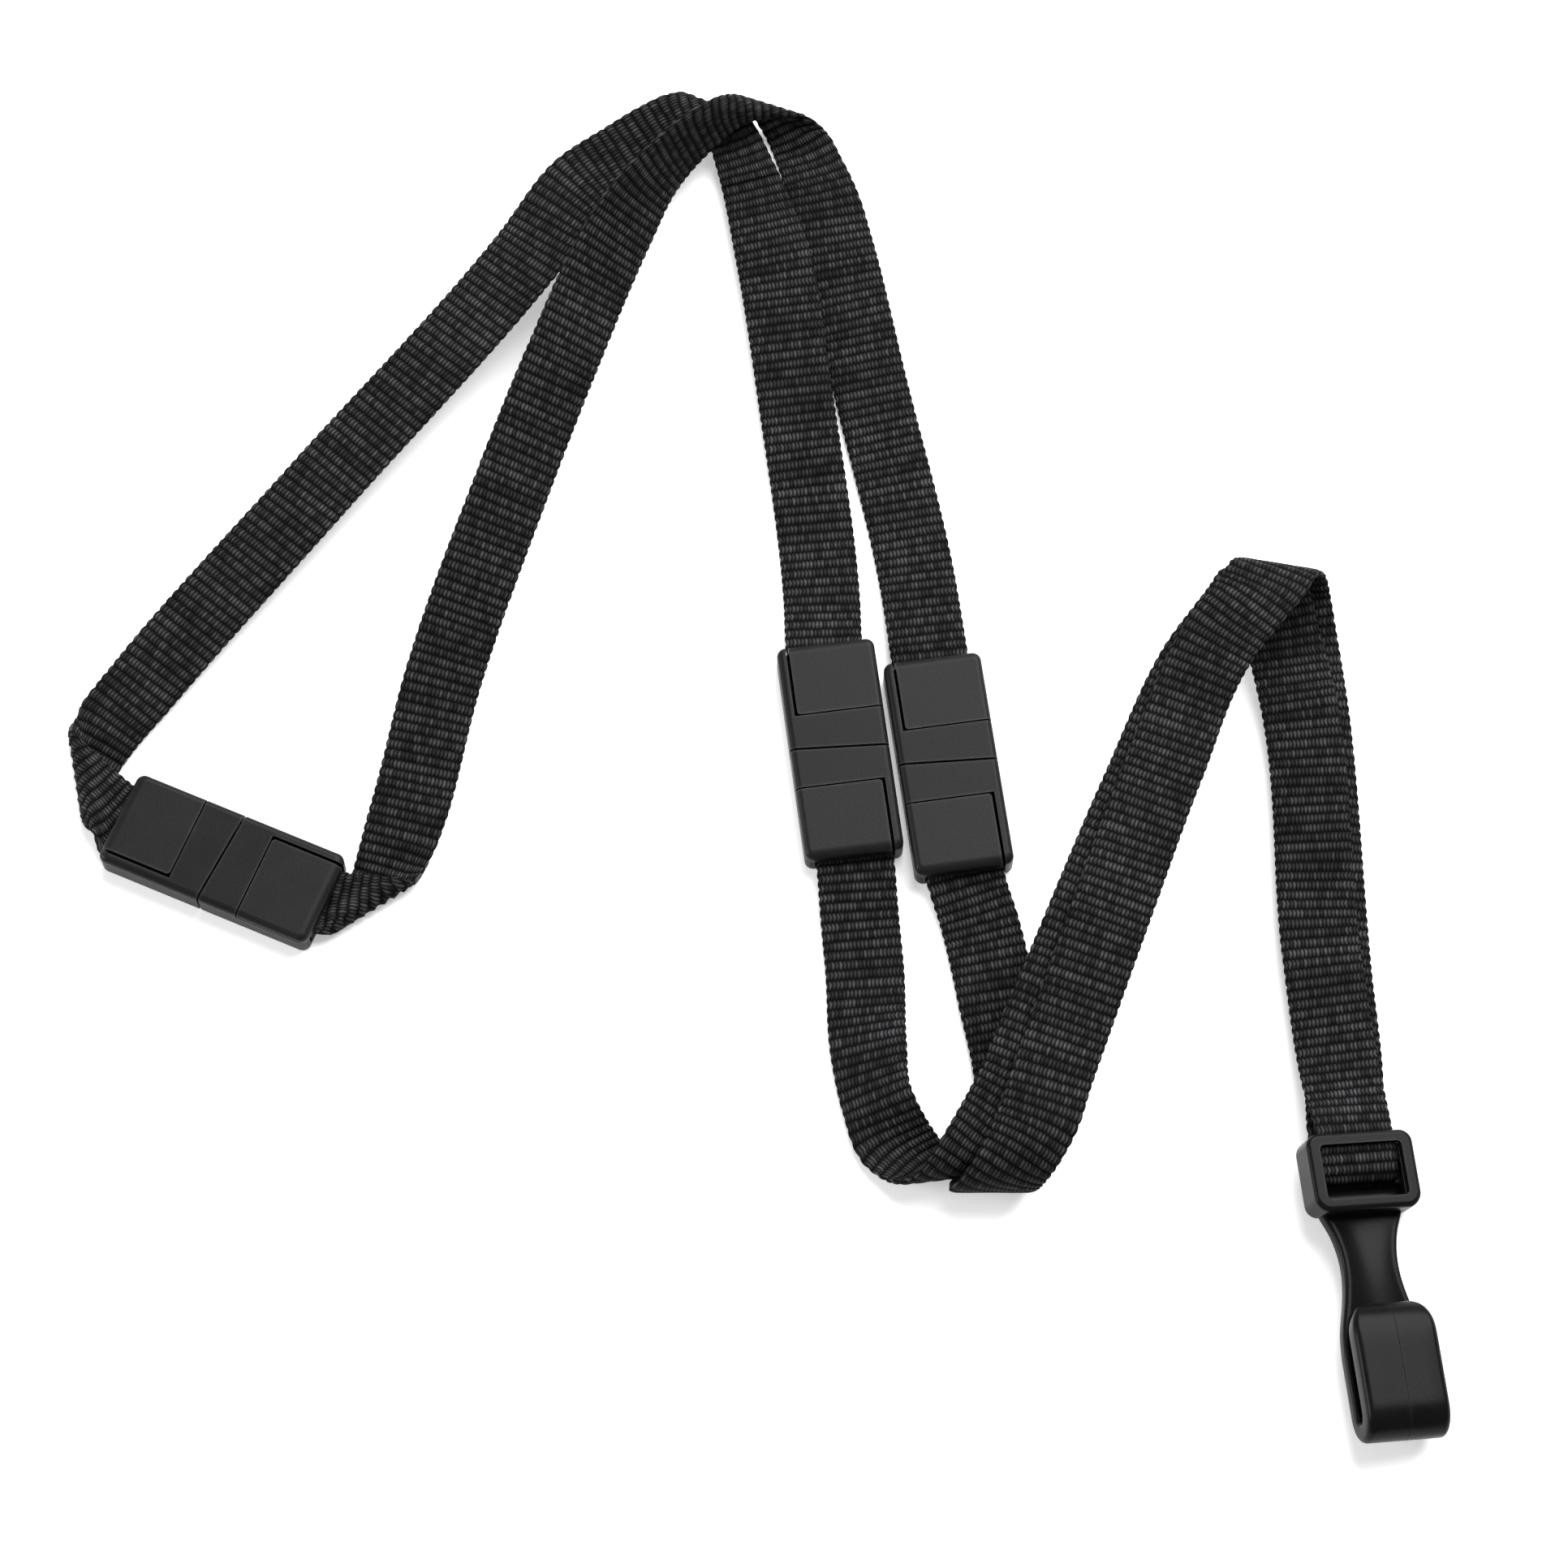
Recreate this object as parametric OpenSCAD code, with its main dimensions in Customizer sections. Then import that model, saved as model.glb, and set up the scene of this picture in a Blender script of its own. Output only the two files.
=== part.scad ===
// Neck lanyard: ribbed straps, three breakaway buckles with clamp lids, J-hook.
// Lies on the plane z = 0, millimetres, +Z up.

/* [Straps] */

// Width of the webbing
strap_w = 10; // [9:0.5:10]
// Thickness of the webbing
strap_t = 1; // [0.8:0.1:1]

/* [Buckles] */

// Length of a closed buckle
buckle_l = 29.4; // [27:0.2:32]
// Width of a buckle
buckle_w = 12.8; // [12.6:0.1:13]
// Height of a buckle
buckle_h = 4.5; // [4.4:0.1:5]
// Length of one clamp lid
lid_l = 9.8; // [8.5:0.1:10.2]
// Width of the fixed rail beside a lid
rail_w = 1.4; // [1.1:0.1:1.6]
// Gap at the seams between moving pieces
seam = 0.12; // [0.08:0.02:0.2]
// Slant of the split line, degrees
split_slant = 4; // [0:1:6]
// Length of the snap prongs
prong_l = 3.6; // [2.5:0.1:3.8]

/* [Hook] */

// Width of the hook's strap frame
frame_w = 14; // [13.4:0.2:14.6]
// Length of the hook's strap frame
frame_l = 9.4; // [9.2:0.1:10.4]
// Length of the frame's window
window_l = 6.6; // [6:0.2:7]
// Width of the hook's neck
neck_w = 7.2; // [5:0.2:8]
// Width of the hook's bend and tongue
tongue_w = 10.8; // [9:0.2:11]
// Length of the tongue, tip to bend centre
tongue_l = 13.4; // [12:0.2:15]
// Thickness of the tongue
tongue_t = 3.2; // [2.4:0.1:3.4]
// Thickness of the hook's back leg
leg_t = 2; // [1.8:0.1:2.4]
// Mouth between the back leg and the tongue
mouth = 1.6; // [1.4:0.1:2]
// Roll of the hook as it lies on the table, degrees
hook_roll = -12; // [-14:1:-10]

/* [Hidden] */

$fn = 48;

// moves the middle of the lanyard's footprint to x = 0, y = 0
centre_shift = [-1.5, -0.7, 0];
// where each buckle lies: x, y, turn
neck_at = [-64.5, -16, -23];
left_at = [14.7, -1, 97.5];
right_at = [28.7, -3, 98];
// where the hook's crossbar lies: x, y, z, turn
hook_at = [79, -57.5, 4.1, -83];

strap_z = 1.65;
floor_h = 1.1;
lid_z = 2.3;
channel_w = 10.4;
band_l = buckle_l / 2 - lid_l;
knuckle_r = 0.9;
knuckle_y = buckle_w / 2 - knuckle_r;
knuckle_z = buckle_h - knuckle_r;

frame_mid = 0.3;
frame_top = 3;
frame_low = -2.2;
bar_r = 0.8;
neck_end = 20.5;
bend_x = 31.1;
// the bend: middle and radius of its outside, middle of its mouth
bend_r = (leg_t + mouth + tongue_t) / 2;
bend_z = frame_low + bend_r;
mouth_z = frame_low + leg_t + mouth / 2;

plastic = [0.09, 0.09, 0.095];
lid_tone = [0.12, 0.12, 0.125];
webbing = [0.05, 0.05, 0.055];

// ---------------------------------------------------------------- straps
// A station is one straight line across the strap, from its W edge to its
// E edge: centre x, y, z, direction of the line, its length, its tilt.

function station(s) =
    let (n = len(s) > 4 ? s[4] : strap_w, tilt = len(s) > 5 ? s[5] : 0)
    let (d = [cos(s[3]) * cos(tilt), sin(s[3]) * cos(tilt), sin(tilt)])
    let (c = [s[0], s[1], s[2]] + centre_shift)
    [c - d * n / 2, c + d * n / 2];

// a station across a buckle's mouth, u along the buckle
function across(at, u, side = 1) = [
    at[0] + u * cos(at[2]),
    at[1] + u * sin(at[2]),
    strap_z,
    at[2] - 90 * side
];

// a fold-over: a half turn about an axis that lies flat, drifting along it
function turn(c, axis, low, r, drift, n, side, angles) = [
    for (a = angles) [
        c[0] + cos(axis) * drift * (a - 90) / 180 - side * sin(axis) * r * sin(a),
        c[1] + sin(axis) * drift * (a - 90) / 180 + side * cos(axis) * r * sin(a),
        low + r + r * cos(a),
        axis,
        n
    ]
];

down = [0, 45, 90, 135, 180];
up = [180, 135, 90, 45, 0];
tight = [0, 90, 180];

upper_left_route = concat(
    [across(neck_at, -6.5), across(neck_at, -15)],
    turn([-83, -3.8], -79, 0.6, 1, -3.5, 13.4, -1, tight),
    [
        [-81, 2.3, 0.7, -52], [-76, 9, 1.2, -43], [-54, 35.5, 4, -41],
        [-27, 68.5, 6.2, -41], [-20, 78.5, 6.7, -44, 10, -5],
        [-12.5, 84.5, 6.3, -32, 10, -15], [-7.5, 88.5, 5.9, -22, 10, -22],
        [-4, 91, 5.2, -16, 10, -22], [-1.5, 92, 3.9, -16, 10, -15],
        [-0.5, 91, 2.5, -20, 9.6, -5], [1.4, 87, 1.8, -20, 9.4],
        [3.1, 82, 1.9, -14, 9.4], [6, 70.5, 2, 8], [9, 50, 1.6, 7],
        [12.5, 20.5, 0.7, 7.5]
    ],
    [across(left_at, 15), across(left_at, 6.5)]
);

upper_right_route = concat(
    [across(neck_at, 6.5, -1), across(neck_at, 15, -1)],
    turn([-45.7, -21.2], 33, 0.6, 0.8, 2.5, 13.4, -1, tight),
    [
        [-41, -8.5, 0.8, -11], [-37, 9, 2.2, -13, 10, -14],
        [-28.5, 35, 5, -17, 10, -18], [-22, 53, 6.5, -18, 10, -26],
        [-14.5, 71.5, 7.6, -6, 10, -36], [-11, 78, 8.2, 8, 10, -41],
        [-6, 84, 8.4, 14, 10, -42], [-1, 88.5, 8.2, 12, 10, -40],
        [3, 90.5, 7, 0, 10.5, -32], [6, 91.5, 4.8, -8, 11, -20],
        [8, 91, 2, -16, 11.5, -7], [10, 88, 0.6, -18, 11],
        [12.5, 81.5, 0.6, -6], [14.5, 73, 0.6, 13], [19, 52, 0.6, 13],
        [25, 24, 0.6, 13]
    ],
    [across(right_at, 15), across(right_at, 6.5)]
);

lower_left_route = concat(
    [across(left_at, -6.5), across(left_at, -15)],
    [
        [17.2, -23, 0.8, 5], [17.8, -30, 0.6, 2], [18.2, -41, 2.1, 4, 10, 18],
        [19.2, -48, 3.1, 9, 10, 30]
    ],
    turn([27.8, -54.8], 7, 1.4, 3.4, -9, 11.2, -1, up),
    [
        [35.2, -50.3, 8.9, -27], [40, -39.3, 9, -23], [52.8, -9, 9.2, -22],
        [61, 8.8, 9.2, -25]
    ],
    turn([70, 18.6], -8, 2.1, 3.5, 4.2, 10.5, 1, down),
    [
        [74.5, 5.5, 2.1, 6], [76, -28, 2.2, 6], [77.8, -46, 3.6, 8],
        across_hook(-5.6, 1.45), around_hook(90), around_hook(45), around_hook(12)
    ]
);

lower_right_route = concat(
    [across(right_at, -6.5), across(right_at, -15)],
    [[32.5, -23.5, 0.8, 10], [34.5, -33, 0.6, 12], [36.4, -48, 0.6, 7]],
    [
        [34.4, -54.8, 0.6, 2], [33.8, -57.2, 0.7, 1, 10.3],
        [33.4, -59.4, 3, 0, 10.5], [33.9, -59.9, 5.8, 0, 10.8],
        [35.8, -58.3, 9.1, 0, 10.8],
        [38, -54.8, 10.6, -4, 10.5],
        [41.2, -46, 10.6, -22], [49.5, -23.3, 10.6, -20], [56, -6, 10.6, -21],
        [64, 12, 10.6, -26]
    ],
    turn([71.8, 18.3], -10, 0.6, 5, 5.2, 11.2, 1, down),
    [
        [76, 6, 0.7, 6], [77.5, -30.5, 0.7, 7], [78.3, -46, 1, 8],
        across_hook(-5.6, -1.45), around_hook(-90), around_hook(-45), around_hook(-12)
    ]
);

// stations on the hook: layers of webbing above and below the crossbar,
// and round it
function hook_point(u, w) =
    let (a = hook_at[3])
    [
        hook_at[0] + u * cos(a) - w * sin(hook_roll) * -sin(a),
        hook_at[1] + u * sin(a) - w * sin(hook_roll) * cos(a),
        hook_at[2] + w * cos(hook_roll),
        a + 90, strap_w, hook_roll
    ];
function across_hook(u, w) = hook_point(u, w);
function around_hook(a) = hook_point(1.45 * cos(a), 1.45 * sin(a));

// corner points of one ring: W low, E low, E high, W high
function ring(route, i) =
    let (n = len(route) - 1)
    let (s = station(route[i]))
    let (before = station(route[max(i - 1, 0)]))
    let (after = station(route[min(i + 1, n)]))
    let (t0 = unit(mid(s) - mid(before)), t1 = unit(mid(after) - mid(s)))
    let (n0 = unit(cross(s[1] - s[0], t0 + t1)))
    [
        s[0] - n0 * strap_t / 2,
        s[1] - n0 * strap_t / 2,
        s[1] + n0 * strap_t / 2,
        s[0] + n0 * strap_t / 2
    ];
function mid(s) = (s[0] + s[1]) / 2;
function unit(v) = norm(v) > 0 ? v / norm(v) : v;

module strap(route) {
    n = len(route);
    points = [for (i = [0:n - 1]) each ring(route, i)];
    sides = [
        for (i = [0:n - 2], k = [0:3])
            let (a = 4 * i + k, b = 4 * i + (k + 1) % 4)
            each [[a, b, b + 4], [a, b + 4, a + 4]]
    ];
    e = 4 * (n - 1);
    ends = [[0, 2, 1], [0, 3, 2], [e, e + 1, e + 2], [e, e + 2, e + 3]];
    color(webbing)
        polyhedron(points, concat(sides, ends), convexity = 8);
}

// ---------------------------------------------------------------- buckles
// Local frame of a buckle: +X from the socket to the plug, z = 0 its
// underside. A half is drawn as the socket (-X); the plug is the same
// shape turned half round.

// rounded cross-section of the whole buckle
module profile(r_low, r_top) {
    translate([-buckle_w / 2 + r_low, 0])
        square([buckle_w - 2 * r_low, buckle_h - r_top]);
    translate([-buckle_w / 2, r_low])
        square([buckle_w, buckle_h - r_low - r_top]);
    translate([-buckle_w / 2 + r_top, 0.5])
        square([buckle_w - 2 * r_top, buckle_h - 0.5]);
    for (s = [-1, 1]) {
        translate([s * (buckle_w / 2 - r_low), r_low])
            circle(r_low);
        translate([s * (buckle_w / 2 - r_top), buckle_h - r_top])
            circle(r_top);
    }
}

// plan of one half: rounded at the strap end, slanted at the split
module half_plan(r, gap) {
    l = buckle_l / 2;
    k = tan(split_slant) * buckle_w / 2;
    translate([-l + r, -buckle_w / 2])
        square([l / 2, buckle_w]);
    translate([-l, -buckle_w / 2 + r])
        square([l / 2, buckle_w - 2 * r]);
    for (s = [-1, 1])
        translate([-l + r, s * (buckle_w / 2 - r)])
            circle(r);
    polygon([
        [-l / 2, -buckle_w / 2], [-k - gap, -buckle_w / 2],
        [k - gap, buckle_w / 2], [-l / 2, buckle_w / 2]
    ]);
}

module half_solid(gap) {
    intersection() {
        translate([-buckle_l / 2 - 1, 0, 0])
            rotate([90, 0, 90])
                linear_extrude(buckle_l)
                    profile(0.5, knuckle_r);
        linear_extrude(buckle_h)
            half_plan(1, gap);
    }
}

// room the lid takes out of a half, cradle for its knuckle included
module lid_room() {
    l = buckle_l / 2;
    translate([-l - 1, -buckle_w / 2 + rail_w, lid_z - seam])
        cube([lid_l + 1, channel_w / 2 + buckle_w / 2 - rail_w, buckle_h]);
    translate([-l - 1, 0, knuckle_z - 0.5])
        cube([lid_l + 1, buckle_w, buckle_h]);
    translate([-l - 1, knuckle_y, knuckle_z])
        rotate([0, 90, 0])
            cylinder(h = lid_l + 1, r = knuckle_r + 0.1);
}

module base_half() {
    l = buckle_l / 2;
    difference() {
        half_solid(0.06);
        lid_room();
        // channel for the strap
        translate([-l - 1, -channel_w / 2, floor_h])
            cube([lid_l + 1, channel_w, buckle_h]);
        // bore for the lid's pin
        translate([-band_l - 0.1, knuckle_y, knuckle_z])
            rotate([0, 90, 0])
                cylinder(h = 1.1, r = 0.42);
    }
    // low ribs that grip the strap from below
    for (x = [-l + 2, -l + 4.5, -l + 7])
        translate([x, -4.4, floor_h - 0.2])
            cube([0.6, 8.8, 0.22]);
}

module socket_half() {
    difference() {
        base_half();
        // pocket for the plug's prongs
        translate([-band_l + 0.8, -4.3, 1.1])
            cube([band_l + 1, 8.6, 2.3]);
    }
}

module plug_half() {
    rotate([0, 0, 180]) {
        base_half();
        for (s = [-1, 1])
            translate([-1, s * 3.2 - 0.7, 1.35])
                cube([1 + prong_l, 1.4, 1.8]);
        translate([-1, -1, 1.35])
            cube([prong_l, 2, 1.8]);
        // rounded snap tips on the outer prongs
        for (s = [-1, 1])
            translate([prong_l - 0.1, s * 3.7, 1.35])
                cylinder(h = 1.8, r = 0.38);
    }
}

// cross-section of a lid: plate with its knuckle along one top edge
module lid_profile() {
    low_y = -buckle_w / 2 + rail_w + seam;
    difference() {
        union() {
            translate([low_y, lid_z])
                square([knuckle_y - low_y, buckle_h - lid_z]);
            translate([knuckle_y, knuckle_z])
                circle(knuckle_r);
        }
        // clears the wall beside the strap channel
        translate([channel_w / 2 - 0.1, lid_z - 1])
            square([2, knuckle_z - lid_z + 0.45]);
    }
}

module clamp_lid() {
    l = buckle_l / 2;
    difference() {
        intersection() {
            translate([-l - 1, 0, 0])
                rotate([90, 0, 90])
                    linear_extrude(lid_l + 1 - seam)
                        lid_profile();
            linear_extrude(buckle_h + 1)
                half_plan(1, 0);
        }
        // strap mouth, eased
        translate([-l, 0, lid_z])
            rotate([90, 0, 0])
                cylinder(h = buckle_w, r = 0.35, center = true);
    }
    // pin of the hinge
    translate([-band_l - 0.5, knuckle_y, knuckle_z])
        rotate([0, 90, 0])
            cylinder(h = 1.3, r = 0.34);
    // teeth that bite the strap
    for (x = [-l + 3.2, -l + 5.7, -l + 8])
        translate([x, -4, lid_z - 0.1])
            cube([0.5, 8, 0.3]);
}

module place(at) {
    translate(centre_shift + [at[0], at[1], 0])
        rotate([0, 0, at[2]])
            children();
}

module socket(at) {
    color(plastic)
        place(at)
            socket_half();
}

module socket_lid(at) {
    color(lid_tone)
        place(at)
            clamp_lid();
}

module plug(at) {
    color(plastic)
        place(at)
            plug_half();
}

module plug_lid(at) {
    color(lid_tone)
        place(at)
            rotate([0, 0, 180])
                clamp_lid();
}

// ---------------------------------------------------------------- hook
// Local frame: origin on the crossbar, +X towards the bend, z up.

module place_hook() {
    translate(centre_shift + [hook_at[0], hook_at[1], hook_at[2]])
        rotate([0, 0, hook_at[3]])
            rotate([hook_roll, 0, 0])
                children();
}

module rounded_rect(l, w, r) {
    translate([-l / 2 + r, -w / 2])
        square([l - 2 * r, w]);
    translate([-l / 2, -w / 2 + r])
        square([l, w - 2 * r]);
    for (sx = [-1, 1], sy = [-1, 1])
        translate([sx * (l / 2 - r), sy * (w / 2 - r)])
            circle(r);
}

// back leg seen from above: frame width, waisted neck, bend width
module leg_plan() {
    half = neck_w / 2;
    polygon([
        [4.6, -5.6], [6.2, -4.8], [8, -half - 0.3], [11, -half],
        [15, -half - 0.1], [18.5, -half - 0.9], [neck_end + 1, -tongue_w / 2],
        [bend_x, -tongue_w / 2], [bend_x, tongue_w / 2],
        [neck_end + 1, tongue_w / 2], [18.5, half + 0.9], [15, half + 0.1],
        [11, half], [8, half + 0.3], [6.2, 4.8], [4.6, 5.6]
    ]);
}

module hook_body() {
    color(plastic)
        place_hook() {
            difference() {
                translate([frame_mid, 0, frame_low])
                    linear_extrude(frame_top - frame_low)
                        rounded_rect(frame_l, frame_w, 1.4);
                // window in the front plate
                translate([0, 0, 2.2])
                    linear_extrude(3)
                        rounded_rect(window_l, 10.8, 1.2);
                // room for the strap, open at the back and towards the strap
                translate([-frame_l, -5.2, frame_low - 1])
                    cube([frame_l + window_l / 2, 10.4, 2.2 - frame_low + 1]);
            }
            // crossbar
            rotate([90, 0, 0])
                cylinder(h = 11, r = bar_r, center = true);
            translate([0, 0, frame_low])
                linear_extrude(leg_t)
                    leg_plan();
            // shoulder from the frame down to the neck
            translate([frame_l / 2 - 0.3, 0, 0.2])
                rotate([90, 0, 0])
                    cylinder(h = 7, r = 1.7, center = true);
        }
}

// the bend: half a ring in profile, from the back leg round to the tongue
module hook_bend() {
    color(plastic)
        place_hook()
            translate([bend_x, 0, bend_z])
                rotate([90, 0, 0])
                    linear_extrude(tongue_w, center = true)
                        difference() {
                            circle(bend_r);
                            translate([0, mouth_z - bend_z])
                                circle(mouth / 2);
                            translate([-9.99, -9])
                                square([10, 18]);
                        }
}

// profile of the tongue: a plate whose tip curves down to the neck
module tongue_profile() {
    low = mouth_z - bend_z + mouth / 2;
    translate([-tongue_l + 3, low])
        square([tongue_l - 3.01, tongue_t]);
    intersection() {
        translate([-tongue_l + 3, low - 0.6])
            circle(tongue_t + 0.6);
        translate([-tongue_l, low - 0.5])
            square([3.1, tongue_t + 0.5]);
    }
}

module hook_tongue() {
    color(plastic)
        place_hook()
            translate([bend_x, 0, bend_z])
                intersection() {
                    rotate([90, 0, 0])
                        linear_extrude(tongue_w, center = true)
                            tongue_profile();
                    translate([-tongue_l / 2 + 3, 0, -2])
                        linear_extrude(bend_r + 3)
                            rounded_rect(tongue_l + 6, tongue_w, 2.4);
                }
}

socket(neck_at);  // neck_socket
socket_lid(neck_at);  // neck_socket_lid
plug(neck_at);  // neck_plug
plug_lid(neck_at);  // neck_plug_lid
socket(left_at);  // left_socket
socket_lid(left_at);  // left_socket_lid
plug(left_at);  // left_plug
plug_lid(left_at);  // left_plug_lid
socket(right_at);  // right_socket
socket_lid(right_at);  // right_socket_lid
plug(right_at);  // right_plug
plug_lid(right_at);  // right_plug_lid
strap(upper_left_route);  // strap_upper_left
strap(upper_right_route);  // strap_upper_right
strap(lower_left_route);  // strap_lower_left
strap(lower_right_route);  // strap_lower_right
hook_body();
hook_bend();
hook_tongue();
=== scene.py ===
import math

import bmesh
import bpy
import numpy as np
from mathutils import Matrix, Vector


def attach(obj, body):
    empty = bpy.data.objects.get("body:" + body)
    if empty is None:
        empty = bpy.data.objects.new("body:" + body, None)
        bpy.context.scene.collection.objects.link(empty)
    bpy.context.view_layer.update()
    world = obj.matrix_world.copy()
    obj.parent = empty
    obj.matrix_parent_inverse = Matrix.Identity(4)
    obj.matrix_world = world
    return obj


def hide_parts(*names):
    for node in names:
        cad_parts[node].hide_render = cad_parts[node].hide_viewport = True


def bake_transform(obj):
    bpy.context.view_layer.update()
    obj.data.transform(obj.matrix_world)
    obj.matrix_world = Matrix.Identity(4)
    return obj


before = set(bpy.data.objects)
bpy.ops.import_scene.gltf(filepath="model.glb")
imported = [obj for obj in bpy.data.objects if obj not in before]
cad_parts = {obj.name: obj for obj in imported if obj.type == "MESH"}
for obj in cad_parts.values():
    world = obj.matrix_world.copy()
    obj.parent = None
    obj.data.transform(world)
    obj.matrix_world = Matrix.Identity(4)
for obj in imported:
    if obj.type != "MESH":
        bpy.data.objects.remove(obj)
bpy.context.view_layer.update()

MM = 0.001
SHIFT = np.array([-1.5, -0.7, 0.0])


# ---------------------------------------------------------------- camera
def add_camera():
    data = bpy.data.cameras.new("camera")
    data.lens = 105
    data.sensor_width = 36
    data.clip_start = 0.01
    cam = bpy.data.objects.new("camera", data)
    bpy.context.scene.collection.objects.link(cam)
    cam.location = Vector((6.0, -208.07, 557.39)) * MM
    aim = Vector((6.0, -5.2, 0)) * MM - cam.location
    cam.rotation_euler = aim.to_track_quat("-Z", "Y").to_euler()
    bpy.context.scene.camera = cam


# ---------------------------------------------------------------- routes
# The same stations as in the CAD source, in millimetres: centre x, y, z,
# direction of the line across, its length, its tilt.
NECK = (-64.5, -16, -23)
LEFT = (14.7, -1, 97.5)
RIGHT = (28.7, -3, 98)
HOOK = (79, -57.5, 4.1, -83)
ROLL = -12
DOWN = (0, 45, 90, 135, 180)
UP = (180, 135, 90, 45, 0)
TIGHT = (0, 90, 180)


def cosd(a):
    return math.cos(math.radians(a))


def sind(a):
    return math.sin(math.radians(a))


def across(at, u, side=1):
    """A station on a buckle's own axis, u from its middle, line across it."""
    return (at[0] + u * cosd(at[2]), at[1] + u * sind(at[2]), 1.65, at[2] - 90 * side)


def turn(c, axis, low, r, drift, n, side, angles):
    """Stations round a fold of radius r over an axis through c, as it lies."""
    out = []
    for a in angles:
        k = drift * (a - 90) / 180
        out.append(
            (
                c[0] + cosd(axis) * k - side * sind(axis) * r * sind(a),
                c[1] + sind(axis) * k + side * cosd(axis) * r * sind(a),
                low + r + r * cosd(a),
                axis,
                n,
            )
        )
    return out


def on_hook(u, w):
    """A station in the hook's own frame: u along it, w up from its bar."""
    a = HOOK[3]
    return (
        HOOK[0] + u * cosd(a) + w * sind(ROLL) * sind(a),
        HOOK[1] + u * sind(a) - w * sind(ROLL) * cosd(a),
        HOOK[2] + w * cosd(ROLL),
        a + 90,
        10,
        ROLL,
    )


def round_bar(a):
    return on_hook(1.45 * cosd(a), 1.45 * sind(a))


UPPER_LEFT = (
    [across(NECK, -6.5), across(NECK, -15)]
    + turn((-83, -3.8), -79, 0.6, 1, -3.5, 13.4, -1, TIGHT)
    + [
        (-81, 2.3, 0.7, -52), (-76, 9, 1.2, -43), (-54, 35.5, 4, -41),
        (-27, 68.5, 6.2, -41), (-20, 78.5, 6.7, -44, 10, -5),
        (-12.5, 84.5, 6.3, -32, 10, -15), (-7.5, 88.5, 5.9, -22, 10, -22),
        (-4, 91, 5.2, -16, 10, -22), (-1.5, 92, 3.9, -16, 10, -15),
        (-0.5, 91, 2.5, -20, 9.6, -5), (1.4, 87, 1.8, -20, 9.4),
        (3.1, 82, 1.9, -14, 9.4), (6, 70.5, 2, 8), (9, 50, 1.6, 7),
        (12.5, 20.5, 0.7, 7.5),
    ]
    + [across(LEFT, 15), across(LEFT, 6.5)]
)

UPPER_RIGHT = (
    [across(NECK, 6.5, -1), across(NECK, 15, -1)]
    + turn((-45.7, -21.2), 33, 0.6, 0.8, 2.5, 13.4, -1, TIGHT)
    + [
        (-41, -8.5, 0.8, -11), (-37, 9, 2.2, -13, 10, -14),
        (-28.5, 35, 5, -17, 10, -18), (-22, 53, 6.5, -18, 10, -26),
        (-14.5, 71.5, 7.6, -6, 10, -36), (-11, 78, 8.2, 8, 10, -41),
        (-6, 84, 8.4, 14, 10, -42), (-1, 88.5, 8.2, 12, 10, -40),
        (3, 90.5, 7, 0, 10.5, -32), (6, 91.5, 4.8, -8, 11, -20),
        (8, 91, 2, -16, 11.5, -7), (10, 88, 0.6, -18, 11),
        (12.5, 81.5, 0.6, -6), (14.5, 73, 0.6, 13), (19, 52, 0.6, 13),
        (25, 24, 0.6, 13),
    ]
    + [across(RIGHT, 15), across(RIGHT, 6.5)]
)

LOWER_LEFT = (
    [across(LEFT, -6.5), across(LEFT, -15)]
    + [
        (17.2, -23, 0.8, 5), (17.8, -30, 0.6, 2), (18.2, -41, 2.1, 4, 10, 18),
        (19.2, -48, 3.1, 9, 10, 30),
    ]
    + turn((27.8, -54.8), 7, 1.4, 3.4, -9, 11.2, -1, UP)
    + [
        (35.2, -50.3, 8.9, -27), (40, -39.3, 9, -23), (52.8, -9, 9.2, -22),
        (61, 8.8, 9.2, -25),
    ]
    + turn((70, 18.6), -8, 2.1, 3.5, 4.2, 10.5, 1, DOWN)
    + [
        (74.5, 5.5, 2.1, 6), (76, -28, 2.2, 6), (77.8, -46, 3.6, 8),
        on_hook(-5.6, 1.45), round_bar(90), round_bar(45), round_bar(12),
    ]
)

LOWER_RIGHT = (
    [across(RIGHT, -6.5), across(RIGHT, -15)]
    + [(32.5, -23.5, 0.8, 10), (34.5, -33, 0.6, 12), (36.4, -48, 0.6, 7)]
    + [
        (34.4, -54.8, 0.6, 2), (33.8, -57.2, 0.7, 1, 10.3),
        (33.4, -59.4, 3, 0, 10.5), (33.9, -59.9, 5.8, 0, 10.8),
        (35.8, -58.3, 9.1, 0, 10.8), (38, -54.8, 10.6, -4, 10.5),
        (41.2, -46, 10.6, -22), (49.5, -23.3, 10.6, -20), (56, -6, 10.6, -21),
        (64, 12, 10.6, -26),
    ]
    + turn((71.8, 18.3), -10, 0.6, 5, 5.2, 11.2, 1, DOWN)
    + [
        (76, 6, 0.7, 6), (77.5, -30.5, 0.7, 7), (78.3, -46, 1, 8),
        on_hook(-5.6, -1.45), round_bar(-90), round_bar(-45), round_bar(-12),
    ]
)


# ---------------------------------------------------------------- webbing
RIB = 1.3
YARN = 0.5
HALF_T = 0.4
RIB_HIGH = 0.2
# places across the width, closer together at the woven edges
COLUMNS = np.array(
    [0, 0.012, 0.035, 0.08, 0.16, 0.27, 0.385, 0.5, 0.615, 0.73, 0.84, 0.92, 0.965, 0.988, 1]
)


def edges(route):
    """W and E edge points of every station, (n, 2, 3), in millimetres."""
    out = []
    for s in route:
        n = s[4] if len(s) > 4 else 10
        tilt = s[5] if len(s) > 5 else 0
        d = np.array([cosd(s[3]) * cosd(tilt), sind(s[3]) * cosd(tilt), sind(tilt)])
        c = np.array(s[:3]) + SHIFT
        out.append([c - d * n / 2, c + d * n / 2])
    return np.array(out)


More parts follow.
